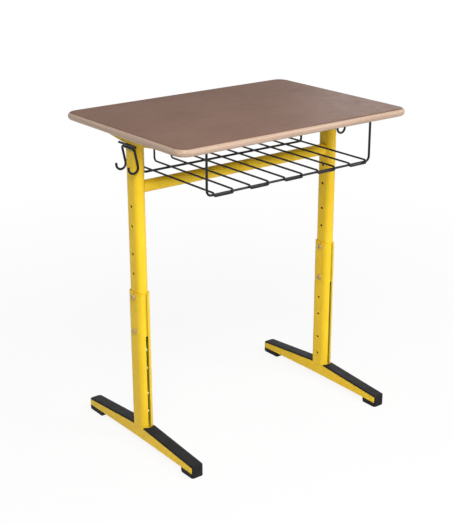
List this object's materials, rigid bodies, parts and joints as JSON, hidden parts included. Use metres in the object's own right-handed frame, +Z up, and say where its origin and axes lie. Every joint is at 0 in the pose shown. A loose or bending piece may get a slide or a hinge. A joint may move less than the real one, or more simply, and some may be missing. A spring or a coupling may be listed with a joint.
{
  "type": "adjustable school desk",
  "caption": "School desk with two telescopic columns on T-feet, a flat top with rounded wooden edge, a wire book basket and bag hooks; its height is adjustable.",
  "frame": {"origin": "on the floor, under the middle of the worktop", "axes": "+Z up, +X to the pupil's right, -Y towards the pupil"},
  "size_m": [0.7, 0.5, 0.82],
  "materials": {
    "brown_laminate": "satin brown laminate",
    "backing_laminate": "plain beige-brown backing laminate",
    "beech_edge": "lacquered pale beech",
    "board": "raw board, hidden",
    "yellow_powder_coat": "semi-gloss yellow powder coat on steel",
    "black_wire": "black coated steel wire and strip",
    "black_plastic": "black moulded plastic",
    "zinc_screws": "bright zinc-plated steel"
  },
  "bodies": {
    "left_leg": {"outer_column_left": "yellow_powder_coat", "foot_beam_left": "yellow_powder_coat", "foot_cover_front_left": "black_plastic", "foot_cover_rear_left": "black_plastic"},
    "top_frame": {"worktop_core": "board", "worktop_lipping": "beech_edge", "worktop_laminate": "brown_laminate", "worktop_backing": "backing_laminate", "crossbar": "yellow_powder_coat", "basket_front_rail": "black_wire", "basket_rear_rail": "black_wire", "basket_hairpin_1": "black_wire", "basket_hairpin_2": "black_wire", "basket_hairpin_3": "black_wire", "basket_hairpin_4": "black_wire", "basket_hairpin_5": "black_wire", "basket_strap_left": "black_wire", "basket_strap_right": "black_wire", "basket_strap_rear": "black_wire", "bracket_screw_left_1": "zinc_screws", "bracket_screw_left_2": "zinc_screws", "bracket_screw_left_3": "zinc_screws", "bracket_screw_left_4": "zinc_screws", "bracket_screw_right_1": "zinc_screws", "bracket_screw_right_2": "zinc_screws", "bracket_screw_right_3": "zinc_screws", "bracket_screw_right_4": "zinc_screws", "basket_screw_left_1": "zinc_screws", "basket_screw_left_2": "zinc_screws", "basket_screw_right_1": "zinc_screws", "basket_screw_right_2": "zinc_screws", "basket_screw_rear_1": "zinc_screws", "basket_screw_rear_2": "zinc_screws", "top_bracket_left": "yellow_powder_coat", "inner_column_left": "yellow_powder_coat", "column_plug_left": "black_plastic", "hook_bar_left": "black_wire", "bag_hook_front_left": "black_wire", "bag_hook_rear_left": "black_wire", "top_bracket_right": "yellow_powder_coat", "inner_column_right": "yellow_powder_coat", "column_plug_right": "black_plastic", "hook_bar_right": "black_wire", "bag_hook_front_right": "black_wire", "bag_hook_rear_right": "black_wire"},
    "right_leg": {"outer_column_right": "yellow_powder_coat", "foot_beam_right": "yellow_powder_coat", "foot_cover_front_right": "black_plastic", "foot_cover_rear_right": "black_plastic"},
    "lock_screw_left_upper_outer": {"lock_screw_left_upper_outer": "zinc_screws"},
    "lock_screw_left_upper_inner": {"lock_screw_left_upper_inner": "zinc_screws"},
    "lock_screw_left_lower_outer": {"lock_screw_left_lower_outer": "zinc_screws"},
    "lock_screw_left_lower_inner": {"lock_screw_left_lower_inner": "zinc_screws"},
    "lock_screw_right_upper_outer": {"lock_screw_right_upper_outer": "zinc_screws"},
    "lock_screw_right_upper_inner": {"lock_screw_right_upper_inner": "zinc_screws"},
    "lock_screw_right_lower_outer": {"lock_screw_right_lower_outer": "zinc_screws"},
    "lock_screw_right_lower_inner": {"lock_screw_right_lower_inner": "zinc_screws"}
  },
  "joints": [
    {"name": "height_adjust", "type": "slide", "parent": "left_leg", "child": "top_frame", "axis": [0, 0, 1], "range_m": [-0.23, 0]},
    {"name": "right_leg_height", "type": "slide", "parent": "top_frame", "child": "right_leg", "axis": [0, 0, 1], "range_m": [0, 0.23]},
    {"name": "lock_screw_left_upper_outer_draw", "type": "slide", "parent": "left_leg", "child": "lock_screw_left_upper_outer", "axis": [-1, 0, 0], "range_m": [0, 0.02]},
    {"name": "lock_screw_left_upper_inner_draw", "type": "slide", "parent": "left_leg", "child": "lock_screw_left_upper_inner", "axis": [1, 0, 0], "range_m": [0, 0.02]},
    {"name": "lock_screw_left_lower_outer_draw", "type": "slide", "parent": "left_leg", "child": "lock_screw_left_lower_outer", "axis": [-1, 0, 0], "range_m": [0, 0.02]},
    {"name": "lock_screw_left_lower_inner_draw", "type": "slide", "parent": "left_leg", "child": "lock_screw_left_lower_inner", "axis": [1, 0, 0], "range_m": [0, 0.02]},
    {"name": "lock_screw_right_upper_outer_draw", "type": "slide", "parent": "right_leg", "child": "lock_screw_right_upper_outer", "axis": [1, 0, 0], "range_m": [0, 0.02]},
    {"name": "lock_screw_right_upper_inner_draw", "type": "slide", "parent": "right_leg", "child": "lock_screw_right_upper_inner", "axis": [-1, 0, 0], "range_m": [0, 0.02]},
    {"name": "lock_screw_right_lower_outer_draw", "type": "slide", "parent": "right_leg", "child": "lock_screw_right_lower_outer", "axis": [1, 0, 0], "range_m": [0, 0.02]},
    {"name": "lock_screw_right_lower_inner_draw", "type": "slide", "parent": "right_leg", "child": "lock_screw_right_lower_inner", "axis": [-1, 0, 0], "range_m": [0, 0.02]}
  ],
  "couplings": [
    {"joint": "right_leg_height", "follows": "height_adjust", "ratio": -1}
  ]
}
